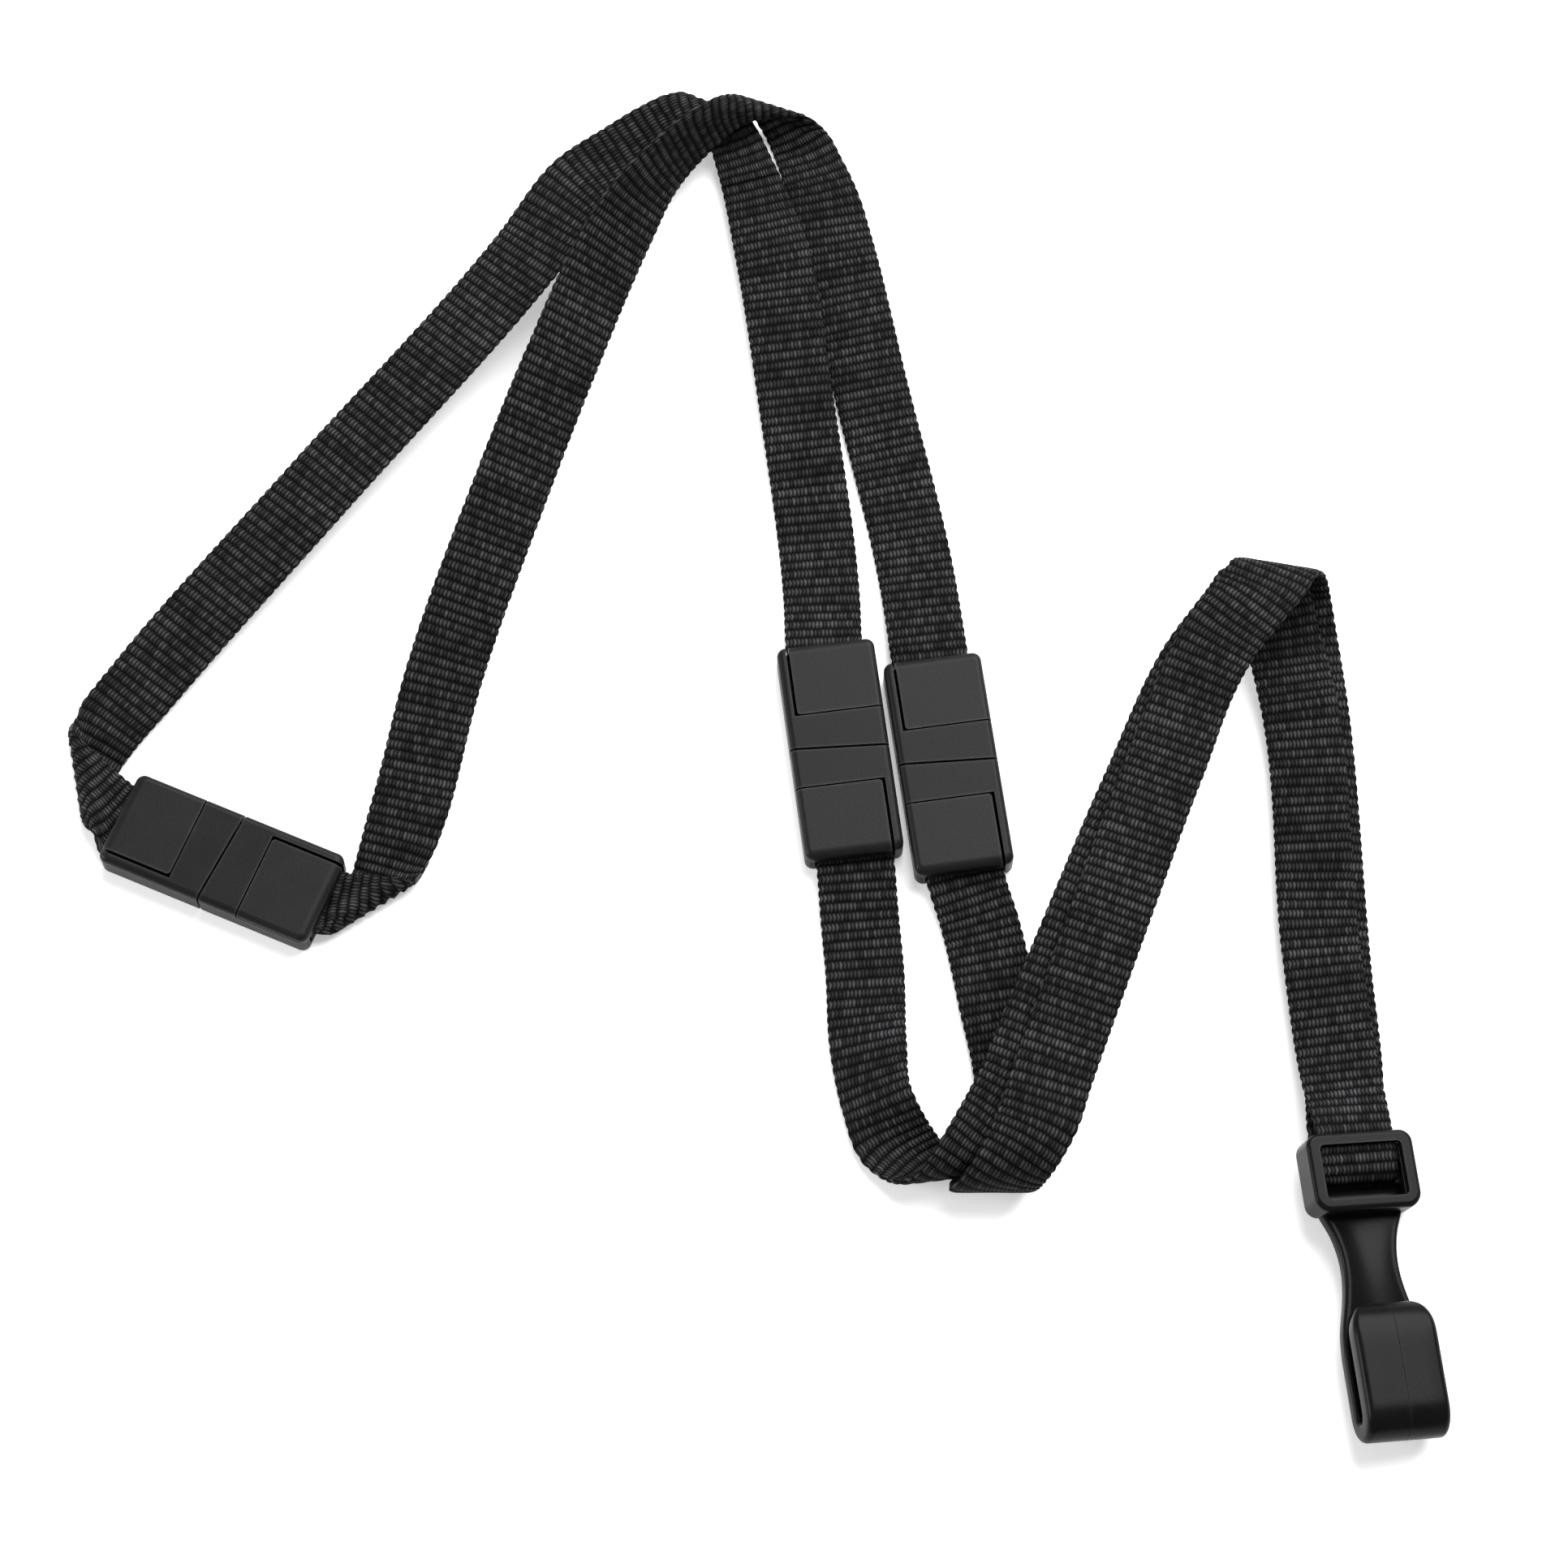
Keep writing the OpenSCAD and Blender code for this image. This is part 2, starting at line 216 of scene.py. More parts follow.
def smooth(points, fine=40):
    """A smooth curve through the stations, for both edges at once."""
    mid = points.mean(1)
    h = np.linalg.norm(np.diff(mid, axis=0), axis=1)
    slope = np.diff(points, axis=0) / h[:, None, None]
    t = np.empty_like(points)
    t[0], t[-1] = slope[0], slope[-1]
    w0, w1 = h[:-1, None, None], h[1:, None, None]
    t[1:-1] = (slope[:-1] * w1 + slope[1:] * w0) / (w0 + w1)
    out = []
    for i in range(len(h)):
        x = np.linspace(0, 1, fine, endpoint=False)[:, None, None]
        out.append(
            points[i] * (2 * x**3 - 3 * x**2 + 1)
            + t[i] * h[i] * (x**3 - 2 * x**2 + x)
            + points[i + 1] * (3 * x**2 - 2 * x**3)
            + t[i + 1] * h[i] * (x**3 - x**2)
        )
    out.append(points[-1:])
    return np.concatenate(out)


def unit(v):
    return v / np.maximum(np.linalg.norm(v, axis=-1, keepdims=True), 1e-9)


def hump(phase):
    """Cross-section of the ribs: round tops and sharp valleys, 0 to 1."""
    return np.abs(np.sin(np.pi * phase)) ** 0.7


def webbing_grid(route, seed):
    """The strap's rows: surface points at every rib step and column."""
    line = smooth(edges(route))
    mid = line.mean(1)
    step = np.linalg.norm(np.diff(mid, axis=0), axis=1)
    run = np.concatenate([[0], np.cumsum(step)])
    along = unit(np.gradient(mid, axis=0))
    skew = ((line[:, 1] - line[:, 0]) * along).sum(1)
    length = run[-1]
    rows = np.arange(0, length, RIB / 6)
    rng = np.random.default_rng(seed)
    wob = np.convolve(rng.normal(0, 1, len(rows) + 60), np.ones(30) / 30, "same")[30:-30]
    lean = np.convolve(rng.normal(0, 1, len(rows) + 60), np.ones(40) / 40, "same")[30:-30]
    phase = np.empty((len(rows), len(COLUMNS)))
    place = np.empty((len(rows), len(COLUMNS), 3))
    out = np.empty_like(place)
    index = np.arange(len(run))
    for j, v in enumerate(COLUMNS):
        measure = np.maximum.accumulate(run + skew * (v - 0.5))
        measure += np.arange(len(run)) * 1e-7
        at = np.interp(rows, measure, index)
        phase[:, j] = rows / RIB + 0.35 * wob + 0.9 * lean * (v - 0.5)
        wide = 0.5 + (v - 0.5) * (1 + 0.042 * (hump(phase[:, j]) - 0.6))
        w = np.stack([np.interp(at, index, line[:, 0, k]) for k in range(3)], -1)
        e = np.stack([np.interp(at, index, line[:, 1, k]) for k in range(3)], -1)
        place[:, j] = w + (e - w) * wide[:, None]
        out[:, j] = unit(e - w)
    ahead = unit(np.gradient(place, axis=0))
    normal = unit(np.cross(out, ahead))
    # a light smoothing keeps neighbouring rows from crossing in the tight folds
    for _ in range(3):
        normal[1:-1] = unit(normal[:-2] + 2 * normal[1:-1] + normal[2:])
    return place, normal, phase, rows


def webbing_piece(name, grid, first, last):
    """A closed solid of woven strap from row first to row last."""
    place, normal, phase, rows = (a[first : last + 1] for a in grid)
    n, m = place.shape[:2]
    edge = np.abs(2 * COLUMNS - 1)
    thick = HALF_T * (1 - 0.62 * edge**14) * np.ones((n, 1))
    front = RIB_HIGH * (hump(phase) - 0.6) * (1 - 0.6 * edge**20)
    back = RIB_HIGH * (hump(phase + 0.5) - 0.6) * (1 - 0.6 * edge**20)
    top = place + normal * (thick + front)[..., None]
    low = place - normal * (thick + back)[..., None]
    ring = np.concatenate([top, low[:, ::-1]], 1)
    k = ring.shape[1]
    ring[..., 2] = np.maximum(ring[..., 2], 0.02)
    verts = ring.reshape(-1, 3) * MM
    faces = []
    for i in range(n - 1):
        a = i * k
        for j in range(k):
            b = (j + 1) % k
            faces.append((a + j, a + b, a + k + b, a + k + j))
    faces.append(tuple(range(k - 1, -1, -1)))
    faces.append(tuple(range((n - 1) * k, n * k)))
    mesh = bpy.data.meshes.new(name)
    mesh.from_pydata(verts.tolist(), [], faces)
    u = np.concatenate([COLUMNS, COLUMNS[::-1]]) * 10
    weave = np.empty((n, k, 3))
    weave[..., 0] = u
    weave[..., 1] = rows[:, None]
    weave[..., 2] = np.concatenate([phase, phase[:, ::-1] + 0.5], 1)
    layer = mesh.attributes.new("weave", "FLOAT_VECTOR", "POINT")
    layer.data.foreach_set("vector", weave.astype(np.float32).ravel())
    mesh.polygons.foreach_set("use_smooth", [True] * len(mesh.polygons))
    bm = bmesh.new()
    bm.from_mesh(mesh)
    bmesh.ops.recalc_face_normals(bm, faces=bm.faces)
    bm.to_mesh(mesh)
    bm.free()
    obj = link(name, mesh)
    centre = place[:, m // 2] * MM
    return obj, centre[:: max(1, n // 150)].tolist() + [centre[-1].tolist()]


def row_at(grid, x, y):
    """The row whose middle lies nearest to a point seen from above."""
    mid = grid[0][:, len(COLUMNS) // 2, :2] - SHIFT[:2]
    return int(np.argmin(np.hypot(mid[:, 0] - x, mid[:, 1] - y)))


def point(x, y, z=0.0):
    return Vector((x + SHIFT[0], y + SHIFT[1], z)) * MM


def build_straps():
    pieces = []
    for name, route, cut, seed in (
        ("strap_upper_left", UPPER_LEFT, (3.5, 82), 1),
        ("strap_upper_right", UPPER_RIGHT, (10, 88), 2),
        ("strap_lower_left", LOWER_LEFT, (74.3, 8), 3),
        ("strap_lower_right", LOWER_RIGHT, (76, 8), 4),
    ):
        grid = webbing_grid(route, seed)
        rows = grid[0].shape[0]
        if name.startswith("strap_lower"):
            half = rows // 2
            sub = tuple(a[half:] for a in grid)
            split = half + row_at(sub, *cut)
        else:
            split = row_at(grid, *cut)
        run, run_path = webbing_piece(name + "_run", grid, 0, split)
        tail, tail_path = webbing_piece(name + "_tail", grid, split, rows - 1)
        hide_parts(name)
        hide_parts(name)
        pieces.append((run, tail))
    (ul_run, ul_tail), (ur_run, ur_tail), (ll_run, ll_tail), (lr_run, lr_tail) = pieces
    for obj in (ul_run, ll_run, lr_run):
        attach(obj, "frame")
    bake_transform(ul_tail)
    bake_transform(ur_tail)
    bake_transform(ur_run)
    for obj in (ll_tail, lr_tail):
        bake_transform(obj)
    return [o for pair in pieces for o in pair]


# ---------------------------------------------------------------- solids
def link(name, mesh):
    obj = bpy.data.objects.new(name, mesh)
    bpy.context.scene.collection.objects.link(obj)
    return obj


def solid(name, verts, faces):
    mesh = bpy.data.meshes.new(name)
    mesh.from_pydata([Vector(v) * MM for v in verts], [], faces)
    bm = bmesh.new()
    bm.from_mesh(mesh)
    bmesh.ops.remove_doubles(bm, verts=bm.verts, dist=1e-7)
    bmesh.ops.recalc_face_normals(bm, faces=bm.faces)
    bm.to_mesh(mesh)
    bm.free()
    return link(name, mesh)


def loft(name, rings):
    """A closed solid through rings of points, all with the same count."""
    n = len(rings[0])
    faces = []
    for i in range(len(rings) - 1):
        for j in range(n):
            k = (j + 1) % n
            faces.append((i * n + j, i * n + k, (i + 1) * n + k, (i + 1) * n + j))
    faces.append(tuple(range(n - 1, -1, -1)))
    faces.append(tuple(range((len(rings) - 1) * n, len(rings) * n)))
    return solid(name, [p for r in rings for p in r], faces)


def prism(name, outline, low, high):
    """An upright prism over an outline of (x, y) points."""
    return loft(name, [[(x, y, z) for x, y in outline] for z in (low, high)])


def arc(cx, cy, r, a0, a1, n=8):
    return [
        (cx + r * cosd(a0 + (a1 - a0) * i / n), cy + r * sind(a0 + (a1 - a0) * i / n))
        for i in range(n + 1)
    ]


def rounded(x0, y0, x1, y1, r, n=8):
    return (
        arc(x1 - r, y1 - r, r, 0, 90, n)
        + arc(x0 + r, y1 - r, r, 90, 180, n)
        + arc(x0 + r, y0 + r, r, 180, 270, n)
        + arc(x1 - r, y0 + r, r, 270, 360, n)
    )


def combine(obj, tool, how):
    mod = obj.modifiers.new("cut", "BOOLEAN")
    mod.operation = how
    mod.solver = "EXACT"
    mod.object = tool
    bake(obj)
    bpy.data.objects.remove(tool)
    return obj


def bake(obj):
    bpy.context.view_layer.update()
    graph = bpy.context.evaluated_depsgraph_get()
    mesh = bpy.data.meshes.new_from_object(obj.evaluated_get(graph))
    obj.modifiers.clear()
    obj.data = mesh


def soften(obj, width, angle=32, segments=2):
    """Breaks every sharp edge, as a moulded edge is."""
    bm = bmesh.new()
    bm.from_mesh(obj.data)
    bmesh.ops.remove_doubles(bm, verts=bm.verts, dist=2e-6)
    bmesh.ops.dissolve_degenerate(bm, edges=bm.edges, dist=2e-6)
    bm.to_mesh(obj.data)
    bm.free()
    mod = obj.modifiers.new("edge", "BEVEL")
    mod.width = width * MM
    mod.segments = segments
    mod.limit_method = "ANGLE"
    mod.angle_limit = math.radians(angle)
    mod.use_clamp_overlap = True
    mod.miter_outer = "MITER_ARC"
    mod.harden_normals = False
    bake(obj)
    mesh = obj.data
    mesh.polygons.foreach_set("use_smooth", [True] * len(mesh.polygons))
    mesh.set_sharp_from_angle(angle=math.radians(38))
    mod = obj.modifiers.new("normals", "WEIGHTED_NORMAL")
    mod.keep_sharp = True
    bake(obj)
    return obj


def put(obj, matrix):
    obj.data.transform(matrix)
    return obj


# ---------------------------------------------------------------- buckles
HALF_L, HALF_W, TALL = 14.7, 6.4, 4.5
BAND = 4.9
LID_LOW = 2.3
RAIL = HALF_W - 1.4
KNUCKLE_R = 0.9
KNUCKLE_Y, KNUCKLE_Z = HALF_W - KNUCKLE_R, TALL - KNUCKLE_R
SLANT = math.tan(math.radians(4))
SPLIT_GAP = 0.15
SEAM = 0.2
EDGE = 0.08
PRONG_LOW, PRONG_TOP, PRONG_LONG = 1.4, 3.1, 3.0


def half_outline(inset, cut):
    """Outline of one half, inset from the outer sides; the split stays."""
    w = HALF_W - inset
    x = -HALF_L + inset * 1.5
    r = max(1.15 - inset, 0.2)
    return (
        [(-SLANT * w - cut, -w)]
        + arc(x + r, -w + r, r, 270, 180)
        + arc(x + r, w - r, r, 180, 90)
        + [(SLANT * w - cut, w)]
    )


def half_block(name):
    levels = [(0, 0.34), (0.1, 0.14), (0.3, 0.02), (0.45, 0)]
    r = 0.85
    levels += [
        (TALL - r + r * sind(a), r * (1 - cosd(a))) for a in (0, 15, 30, 45, 60, 75, 90)
    ]
    return loft(
        name, [[(x, y, z) for x, y in half_outline(d, SPLIT_GAP)] for z, d in levels]
    )


def lid_volume(name, grow):
    """Where the lid is, or with grow the room it is cut out of the base."""
    x1 = -BAND - SEAM + grow
    y0 = -RAIL + SEAM - grow
    r = 0.45 + grow * 0.5
    plan = (
        [(-HALF_L - 2, y0)]
        + arc(x1 - r, y0 + r, r, 270, 360, 6)
        + [(x1, HALF_W + 2), (-HALF_L - 2, HALF_W + 2)]
    )
    upright = prism(name, plan, LID_LOW - grow, TALL + 2)
    top = TALL + 3
    if grow:
        side = [(-9, LID_LOW - grow), (KNUCKLE_Y - 0.45, LID_LOW - grow)]
        side += arc(KNUCKLE_Y, KNUCKLE_Z, KNUCKLE_R + 0.08, 235, 360, 16)
        side += [(9, KNUCKLE_Z - 0.14), (9, top), (-9, top)]
    else:
        side = [(-9, LID_LOW), (KNUCKLE_Y - 0.75, LID_LOW)]
        side += [(KNUCKLE_Y - 0.75, KNUCKLE_Z - 0.5)]
        side += arc(KNUCKLE_Y, KNUCKLE_Z, KNUCKLE_R, 222, 360, 16)
        side += [(KNUCKLE_Y + KNUCKLE_R, top), (-9, top)]
    rings = [[(x, y, z) for y, z in side] for x in (-HALF_L - 3, x1 + 0.5)]
    section = loft(name + "_section", rings)
    return combine(upright, section, "INTERSECT")


def block(name, x0, y0, z0, x1, y1, z1):
    return prism(name, [(x0, y0), (x1, y0), (x1, y1), (x0, y1)], z0, z1)


def base_half(name):
    """The lower shell of a half: room for the lid, channel for the strap."""
    base = half_block(name)
    combine(base, lid_volume("room", SEAM), "DIFFERENCE")
    channel = block("channel", -HALF_L - 1, -5.2, 1.1, -BAND, 5.2, TALL + 1)
    combine(base, channel, "DIFFERENCE")
    return base


def socket_base(name):
    base = base_half(name)
    pocket = block("pocket", -BAND + 0.8, -4.3, 1.1, 2, 4.3, 3.4)
    combine(base, pocket, "DIFFERENCE")
    return soften(base, EDGE)


def prong(name, y, tip):
    """A snap prong; tip is the side its rounded barb leans to."""
    w = 0.62
    plan = [(-1, y - w), (PRONG_LONG, y - w)]
    plan += arc(3.3, y + tip * 0.25, 0.42, -90, 90, 8)
    plan += [(PRONG_LONG, y + w), (-1, y + w)]
    return prism(name, plan, PRONG_LOW, PRONG_TOP)


def plug_base(name):
    base = base_half(name)
    for y, tip in ((-3.3, -1), (3.3, 1)):
        combine(base, prong("prong", y, tip), "UNION")
    combine(base, block("guide", -1, -1, PRONG_LOW, PRONG_LONG, 1, PRONG_TOP), "UNION")
    return soften(base, EDGE)


def lid(name):
    piece = half_block(name)
    combine(piece, lid_volume("lid_cut", 0), "INTERSECT")
    for x in (-HALF_L + 3.2, -HALF_L + 5.7, -HALF_L + 8):
        tooth = block("tooth", x, -4, LID_LOW - 0.15, x + 0.5, 4, LID_LOW + 0.2)
        combine(piece, tooth, "UNION")
    return soften(piece, 0.09)


def at_buckle(at, flip):
    m = Matrix.Translation(point(at[0], at[1]))
    return m @ Matrix.Rotation(math.radians(at[2] + (180 if flip else 0)), 4, "Z")


def build_buckles():
    shapes = {
        "socket": socket_base("socket_shape"),
        "plug": plug_base("plug_shape"),
        "lid": lid("lid_shape"),
    }
    made = []
    for side, at in (("neck", NECK), ("left", LEFT), ("right", RIGHT)):
        for part, shape, flip, body, look in (
            ("socket", "socket", False, "frame", "buckle_plastic"),
            ("socket_lid", "lid", False, side + "_socket_lid", "lid_plastic"),
            ("plug", "plug", True, side + "_plug", "buckle_plastic"),
            ("plug_lid", "lid", True, side + "_plug_lid", "lid_plastic"),
        ):
            name = side + "_" + part
            obj = link("moulded_" + name, shapes[shape].data.copy())
            put(obj, at_buckle(at, flip))
            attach(obj, body)
            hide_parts(name)
            made.append((obj, look))
    for shape in shapes.values():
        bpy.data.objects.remove(shape)
    return made


# ---------------------------------------------------------------- hook
FRAME_BACK, FRAME_FRONT, FRAME_SIDE = -4.4, 5.3, 7
WINDOW_BACK, WINDOW_FRONT, WINDOW_SIDE = -2.9, 4.1, 5.4
LIP_START = 3.2
BOW = 0.7
BAR_R = 0.8
BEND_X = 31.1
GAP_R, BEND_R = 0.8, 3.4
ARM_W = 5.4
PARTING_LINE = 0.07


def frame_outline(inset, bulge):
    """The strap frame seen from the front; the edge over the neck bows."""
    side = FRAME_SIDE - inset
    pts = rounded(FRAME_BACK + inset, -side, FRAME_FRONT - inset, side, 1.6 - inset * 0.6)
    out = []
    for x, y in pts:
        if x > LIP_START:
            x += bulge * (1 - (y / FRAME_SIDE) ** 2) * (x - LIP_START) / 1.8
        out.append((x, y))
    return out


def hook_frame(name):
    r = 0.6
    levels = [(-2.2, 0.55), (-2.05, 0.25), (-1.8, 0.08), (-1.5, 0)]
    levels += [(3 - r + r * sind(a), r * (1 - cosd(a))) for a in (0, 18, 36, 54, 72, 90)]
    rings = []
    for z, inset in levels:
        bulge = BOW if z > 1.5 else BOW * max(0, (z + 1.5) / 3)
        rings.append([(x, y, z) for x, y in frame_outline(inset, bulge)])
    body = loft(name, rings)
    opening = rounded(WINDOW_BACK, -WINDOW_SIDE, WINDOW_FRONT, WINDOW_SIDE, 0.6, 5)
    combine(body, prism("window", opening, 1.8, 5), "DIFFERENCE")
    room = block("room", -9, -5.3, -4, 4, 5.3, 2)
    combine(body, room, "DIFFERENCE")
    bar = []
    for y in (-5.8, 5.8):
        bar.append([(BAR_R * cosd(a), y, BAR_R * sind(a)) for a in range(0, 360, 15)])
    combine(body, loft("bar", bar), "UNION")
    return soften(body, 0.22, segments=3)


def arm_stations():
    """Middle line of the leg, bend and tongue: x, z, half width, half thickness."""
    leg = [
        (1.3, -1.95, 5.2, 0.25), (2.2, -1.55, 5.4, 0.65), (2.9, -1.2, 5.6, 1),
        (3.4, -1.2, 5.6, 1), (4.4, -1.2, 5.6, 1), (5.4, -1.2, 5.3, 1),
        (6.4, -1.2, 4.8, 1), (7.6, -1.2, 4.3, 1), (9, -1.2, 3.95, 1),
        (10.5, -1.2, 3.7, 1), (12, -1.2, 3.62, 1), (13.5, -1.2, 3.68, 1),
        (15, -1.2, 3.9, 1), (16.5, -1.2, 4.2, 1), (18, -1.2, 4.6, 1),
        (19.5, -1.2, 5, 1), (21, -1.2, 5.25, 1), (23, -1.2, 5.4, 1),
        (25, -1.2, 5.4, 1), (28, -1.2, 5.4, 1), (30.5, -1.2, 5.4, 1),
    ]
    bend = []
    for a in range(-90, 91, 12):
        far = (BEND_R * cosd(a), 1.2 + BEND_R * sind(a))
        near = (GAP_R * cosd(a), 0.6 + GAP_R * sind(a))
        half = math.hypot(far[0] - near[0], far[1] - near[1]) / 2
        bend.append((BEND_X + (far[0] + near[0]) / 2, (far[1] + near[1]) / 2, ARM_W, half))
    tongue = [
        (29.5, 3, 5.4, 1.6), (27, 3, 5.4, 1.6), (24.5, 3, 5.4, 1.6), (22.5, 3, 5.4, 1.6),
        (21.4, 2.98, 5.4, 1.58), (20.5, 2.9, 5.33, 1.52), (19.7, 2.74, 5.12, 1.4),
        (19, 2.54, 4.8, 1.24), (18.5, 2.34, 4.4, 1.06), (18.1, 2.14, 3.9, 0.88),
        (17.85, 1.98, 3.4, 0.7), (17.7, 1.86, 2.8, 0.46),
    ]
    return leg + bend + tongue


def arm_section(half_w, half_t, dish):
    """Cross-section, (y, n): rounded rectangle, outer parting line, inner face dished."""
    r = min(0.5 + 0.75 * max(0, half_t - 1), half_t * 0.62)
    pts = []
    for cy, cn, a0 in (
        (half_w - r, half_t - r, 0), (-half_w + r, half_t - r, 90),
        (-half_w + r, -half_t + r, 180), (half_w - r, -half_t + r, 270),
    ):
        for i in range(7):
            a = a0 + 15 * i
            pts.append((cy + r * cosd(a), cn + r * sind(a)))
        if a0 == 0:
            rim, floor = half_w - 0.95, half_w - 1.2
            pts += [(rim, half_t), (floor, half_t - dish)]
            pts += [(-floor, half_t - dish), (-rim, half_t)]
        if a0 == 180:
            flat = 0.6 * (half_w - r)
            for y in (-flat, -0.1, -0.045, 0, 0.045, 0.1, flat):
                pts.append((y, -half_t + (PARTING_LINE if y == 0 else 0)))
    return pts


def hook_arm(name):
    base = np.array(arm_stations())
    # even, smooth stations along the middle line
    step = np.linalg.norm(np.diff(base[:, :2], axis=0), axis=1)
    run = np.concatenate([[0], np.cumsum(step)])
    fine = np.unique(np.concatenate([np.arange(0, run[-1], 0.45), run[-8:]]))
    line = np.stack([np.interp(fine, run, base[:, k]) for k in range(4)], -1)
    for _ in range(3):
        line[1:-1] = (line[:-2] + 2 * line[1:-1] + line[2:]) / 4
    ahead = unit(np.gradient(line[:, :2], axis=0))
    rings = []
    for (x, z, w, t), (dx, dz) in zip(line, ahead):
        ring = []
        dish = 0.2 * min(1, max(0, (x - 5.5) / 2), max(0, (30 - x) / 2)) if z < 0 else 0
        for y, n in arm_section(w, t, dish):
            # n counts inwards, towards the mouth of the hook
            ring.append((x - dz * n, y, z + dx * n))
        rings.append(ring)
    return loft(name, rings)


def build_hook():
    m = Matrix.Translation(point(HOOK[0], HOOK[1], HOOK[2]))
    m = m @ Matrix.Rotation(math.radians(HOOK[3]), 4, "Z")
    m = m @ Matrix.Rotation(math.radians(ROLL), 4, "X")
    head = put(hook_frame("hook_strap_frame"), m)
    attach(head, "hook")
    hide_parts("hook_body")
    arm = hook_arm("hook_arm")
    mesh = arm.data
    mesh.polygons.foreach_set("use_smooth", [True] * len(mesh.polygons))
    mesh.set_sharp_from_angle(angle=math.radians(50))
    put(arm, m)
    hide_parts("hook_body", "hook_bend", "hook_tongue")
    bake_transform(arm)
    return [(head, "hook_plastic"), (arm, "hook_plastic")]


# ---------------------------------------------------------------- materials
def nodes_of(mat):
    mat.use_nodes = True
    tree = mat.node_tree
    tree.nodes.clear()
    out = tree.nodes.new("ShaderNodeOutputMaterial")
    bsdf = tree.nodes.new("ShaderNodeBsdfPrincipled")
    tree.links.new(bsdf.outputs[0], out.inputs[0])
    return tree, bsdf


def maths(tree, what, a, b=None):
    n = tree.nodes.new("ShaderNodeMath")
    n.operation = what
    for i, v in enumerate((a, b)):
        if v is None:
            continue
        if isinstance(v, (int, float)):
            n.inputs[i].default_value = v
        else:
            tree.links.new(v, n.inputs[i])
    return n.outputs[0]


def mix(tree, fac, a, b):
    n = tree.nodes.new("ShaderNodeMix")
    n.data_type = "RGBA"
    n.inputs[6].default_value = (*a, 1)
    n.inputs[7].default_value = (*b, 1)
    tree.links.new(fac, n.inputs[0])
    return n.outputs[2]


def webbing_material():
    mat = bpy.data.materials.new("ribbed_webbing")
    tree, bsdf = nodes_of(mat)
    attr = tree.nodes.new("ShaderNodeAttribute")
    attr.attribute_name = "weave"
    sep = tree.nodes.new("ShaderNodeSeparateXYZ")
    tree.links.new(attr.outputs["Vector"], sep.inputs[0])
    x, phase = sep.outputs[0], sep.outputs[2]
    row = maths(tree, "FLOOR", phase)
    part = maths(tree, "FRACT", phase)
    rib = maths(tree, "SINE", maths(tree, "MULTIPLY", part, math.pi))
    # warp yarns, each other row set over by half a yarn
    shift = maths(tree, "MULTIPLY", maths(tree, "MODULO", row, 2.0), 0.5)
    column = maths(tree, "ADD", maths(tree, "MULTIPLY", x, 1 / YARN), shift)
    yarn = maths(tree, "ABSOLUTE", maths(tree, "SINE", maths(tree, "MULTIPLY", column, math.pi)))
    cell = tree.nodes.new("ShaderNodeCombineXYZ")
    tree.links.new(maths(tree, "FLOOR", column), cell.inputs[0])
    tree.links.new(row, cell.inputs[1])
    chance = tree.nodes.new("ShaderNodeTexWhiteNoise")
    chance.noise_dimensions = "3D"
    tree.links.new(cell.outputs[0], chance.inputs[0])
    lift = maths(tree, "ADD", maths(tree, "MULTIPLY", chance.outputs[0], 0.75), 0.25)
    line = tree.nodes.new("ShaderNodeTexWhiteNoise")
    line.noise_dimensions = "1D"
    tree.links.new(row, line.inputs["W"])
    rank = maths(tree, "ADD", maths(tree, "MULTIPLY", line.outputs[0], 0.5), 0.7)
    coord = tree.nodes.new("ShaderNodeTexCoord")
    fibre = tree.nodes.new("ShaderNodeTexNoise")
    fibre.inputs["Scale"].default_value = 4200
    fibre.inputs["Detail"].default_value = 3
    tree.links.new(coord.outputs["Object"], fibre.inputs["Vector"])
    patch = tree.nodes.new("ShaderNodeTexNoise")
    patch.inputs["Scale"].default_value = 160
    tree.links.new(coord.outputs["Object"], patch.inputs["Vector"])
    # rib and yarn profiles: painted shade in the valleys, painted highlight on the crowns
    bright = maths(tree, "MULTIPLY", maths(tree, "POWER", yarn, 2.2), 0.88)
    bright = maths(tree, "ADD", bright, 0.12)
    bright = maths(tree, "MULTIPLY", maths(tree, "POWER", rib, 1.2), bright)
    bright = maths(tree, "MULTIPLY", maths(tree, "MULTIPLY", bright, lift), rank)
    bright = maths(tree, "MULTIPLY", bright, maths(tree, "ADD", fibre.outputs[0], 0.5))
    bright = maths(tree, "MULTIPLY", bright, maths(tree, "ADD", patch.outputs[0], 0.45))
    colour = mix(tree, bright, (0.001, 0.001, 0.0012), (0.068, 0.067, 0.07))
    tree.links.new(colour, bsdf.inputs["Base Color"])
    height = maths(tree, "MULTIPLY", yarn, 0.55)
    height = maths(tree, "ADD", maths(tree, "MULTIPLY", rib, 0.5), height)
    height = maths(tree, "ADD", height, maths(tree, "MULTIPLY", fibre.outputs[0], 0.35))
    height = maths(tree, "ADD", height, maths(tree, "MULTIPLY", chance.outputs[0], 0.3))
    bump = tree.nodes.new("ShaderNodeBump")
    bump.inputs["Strength"].default_value = 0.9
    bump.inputs["Distance"].default_value = 0.00009
    tree.links.new(height, bump.inputs["Height"])
    tree.links.new(bump.outputs[0], bsdf.inputs["Normal"])
    rough = maths(tree, "ADD", maths(tree, "MULTIPLY", fibre.outputs[0], 0.2), 0.52)
    tree.links.new(rough, bsdf.inputs["Roughness"])
    bsdf.inputs["Specular IOR Level"].default_value = 0.035
    return mat


